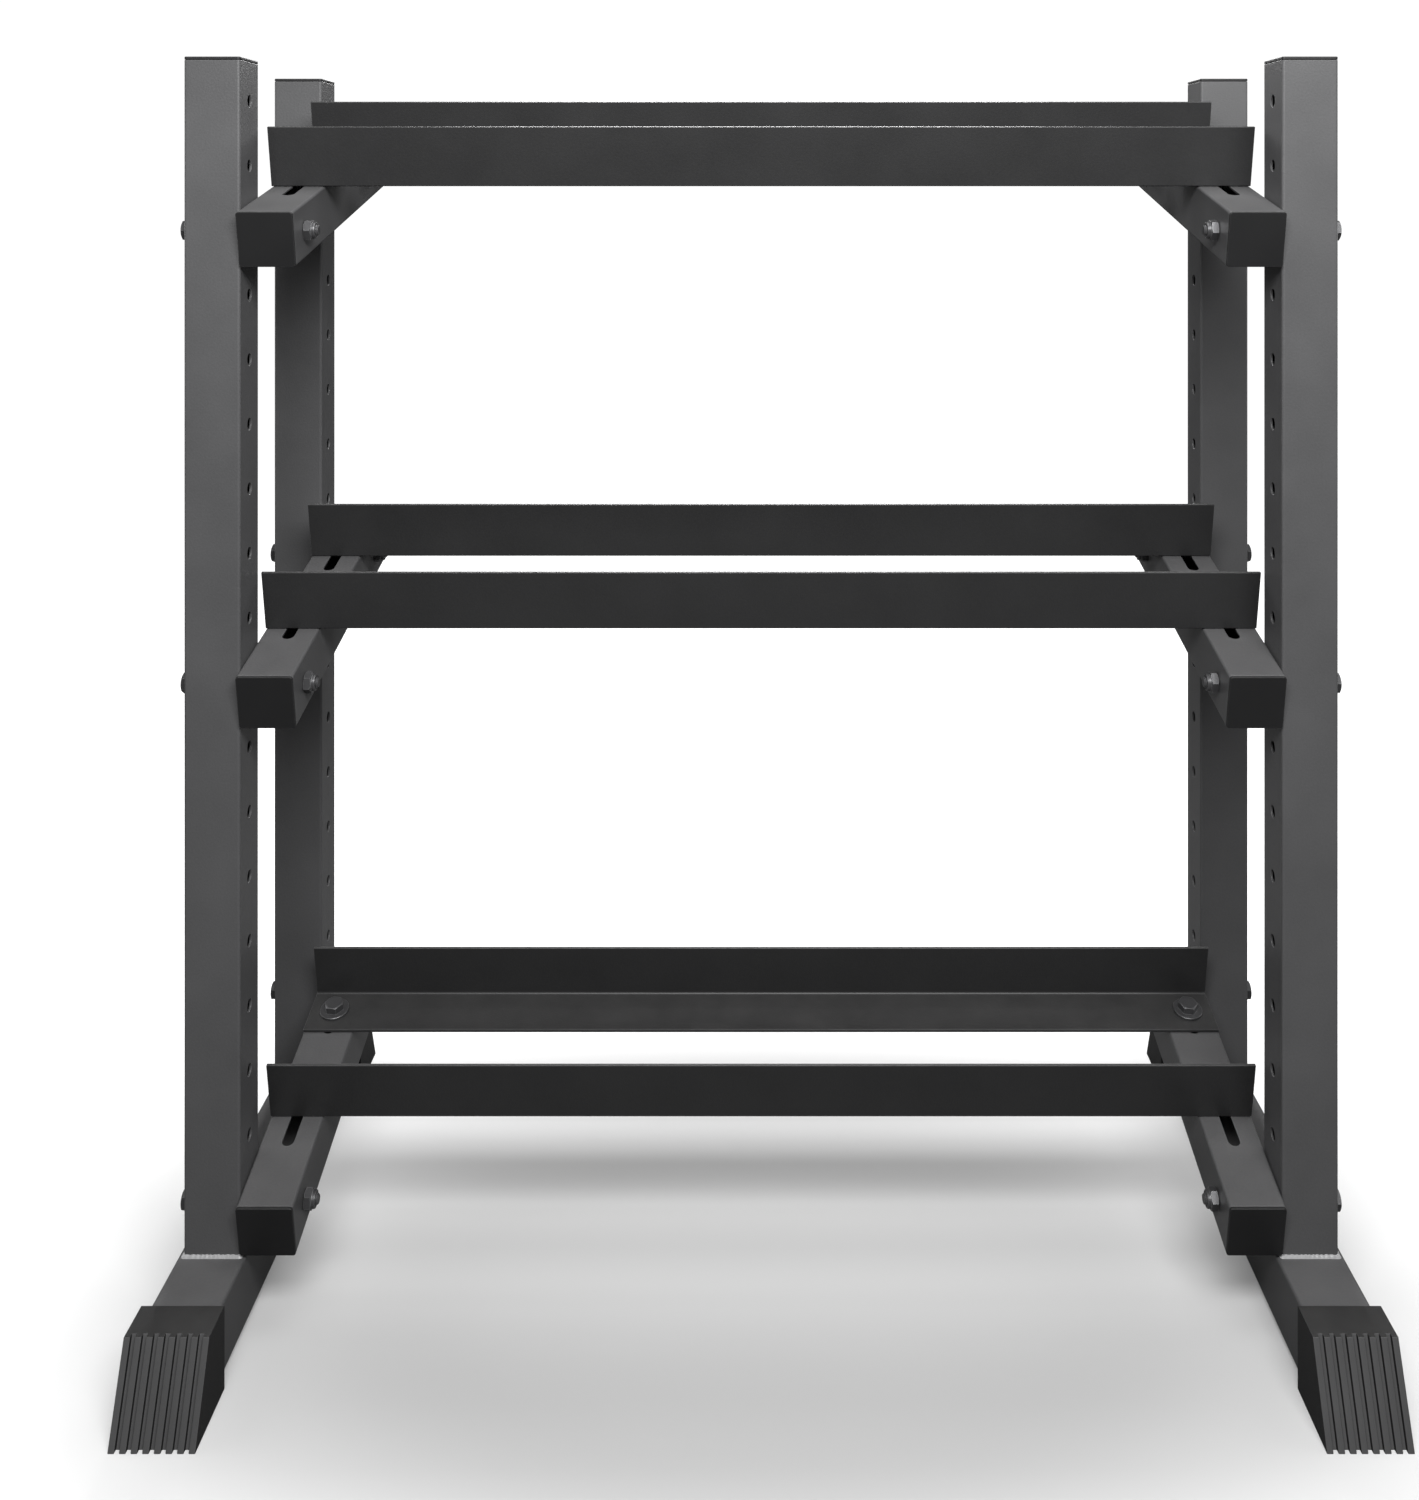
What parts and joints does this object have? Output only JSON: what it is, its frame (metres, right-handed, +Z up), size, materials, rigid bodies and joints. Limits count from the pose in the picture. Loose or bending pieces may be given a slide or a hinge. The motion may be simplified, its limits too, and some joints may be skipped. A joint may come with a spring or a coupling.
{
  "type": "dumbbell rack",
  "caption": "Free-standing dumbbell rack: two drilled square-tube side frames with ribbed shoes, sloping slotted arms on three tiers, and angle rails that slide fore and aft.",
  "frame": {"origin": "on the floor, under the middle of the rack", "axes": "+X to the right as seen from the front, +Y to the rear, +Z up"},
  "size_m": [1.0444, 0.568, 1.1285],
  "materials": {
    "frame_paint": "dark grey satin powder coat",
    "rail_paint": "near-black satin powder coat",
    "bolt_steel": "black oxide",
    "cap_plastic": "fine moulded grain",
    "shoe_rubber": "matt moulded, ribbed toe"
  },
  "bodies": {
    "frame": {"left_foot_tube": "frame_paint", "left_front_shoe": "shoe_rubber", "left_rear_shoe": "shoe_rubber", "left_front_upright": "frame_paint", "left_rear_upright": "frame_paint", "left_front_upright_cap": "cap_plastic", "left_rear_upright_cap": "cap_plastic", "left_bottom_arm": "frame_paint", "left_bottom_arm_front_cap": "cap_plastic", "left_bottom_arm_front_bolt": "bolt_steel", "left_bottom_arm_rear_bolt": "bolt_steel", "left_middle_arm": "frame_paint", "left_middle_arm_front_cap": "cap_plastic", "left_middle_arm_front_bolt": "bolt_steel", "left_middle_arm_rear_bolt": "bolt_steel", "left_top_arm": "frame_paint", "left_top_arm_front_cap": "cap_plastic", "left_top_arm_front_bolt": "bolt_steel", "left_top_arm_rear_bolt": "bolt_steel", "right_foot_tube": "frame_paint", "right_front_shoe": "shoe_rubber", "right_rear_shoe": "shoe_rubber", "right_front_upright": "frame_paint", "right_rear_upright": "frame_paint", "right_front_upright_cap": "cap_plastic", "right_rear_upright_cap": "cap_plastic", "right_bottom_arm": "frame_paint", "right_bottom_arm_front_cap": "cap_plastic", "right_bottom_arm_front_bolt": "bolt_steel", "right_bottom_arm_rear_bolt": "bolt_steel", "right_middle_arm": "frame_paint", "right_middle_arm_front_cap": "cap_plastic", "right_middle_arm_front_bolt": "bolt_steel", "right_middle_arm_rear_bolt": "bolt_steel", "right_top_arm": "frame_paint", "right_top_arm_front_cap": "cap_plastic", "right_top_arm_front_bolt": "bolt_steel", "right_top_arm_rear_bolt": "bolt_steel"},
    "bottom_front_rail_body": {"bottom_front_rail": "rail_paint", "bottom_front_rail_left_bolt": "bolt_steel", "bottom_front_rail_right_bolt": "bolt_steel"},
    "bottom_rear_rail_body": {"bottom_rear_rail": "rail_paint", "bottom_rear_rail_left_bolt": "bolt_steel", "bottom_rear_rail_right_bolt": "bolt_steel"},
    "middle_front_rail_body": {"middle_front_rail": "rail_paint", "middle_front_rail_left_bolt": "bolt_steel", "middle_front_rail_right_bolt": "bolt_steel"},
    "middle_rear_rail_body": {"middle_rear_rail": "rail_paint", "middle_rear_rail_left_bolt": "bolt_steel", "middle_rear_rail_right_bolt": "bolt_steel"},
    "top_front_rail_body": {"top_front_rail": "rail_paint", "top_front_rail_left_bolt": "bolt_steel", "top_front_rail_right_bolt": "bolt_steel"},
    "top_rear_rail_body": {"top_rear_rail": "rail_paint", "top_rear_rail_left_bolt": "bolt_steel", "top_rear_rail_right_bolt": "bolt_steel"}
  },
  "joints": [
    {"name": "bottom_front_rail_slide", "type": "slide", "parent": "frame", "child": "bottom_front_rail_body", "axis": [0, 0.9739, 0.2272], "range_m": [-0.0536, 0.0034]},
    {"name": "bottom_rear_rail_slide", "type": "slide", "parent": "frame", "child": "bottom_rear_rail_body", "axis": [0, 0.9739, 0.2272], "range_m": [-0.0217, 0.0353]},
    {"name": "middle_front_rail_slide", "type": "slide", "parent": "frame", "child": "middle_front_rail_body", "axis": [0, 0.9739, 0.2272], "range_m": [-0.0389, 0.0181]},
    {"name": "middle_rear_rail_slide", "type": "slide", "parent": "frame", "child": "middle_rear_rail_body", "axis": [0, 0.9739, 0.2272], "range_m": [-0.0515, 0.0055]},
    {"name": "top_front_rail_slide", "type": "slide", "parent": "frame", "child": "top_front_rail_body", "axis": [0, 0.9739, 0.2272], "range_m": [-0.0562, 0.0008]},
    {"name": "top_rear_rail_slide", "type": "slide", "parent": "frame", "child": "top_rear_rail_body", "axis": [0, 0.9739, 0.2272], "range_m": [-0.0102, 0.0468]}
  ]
}
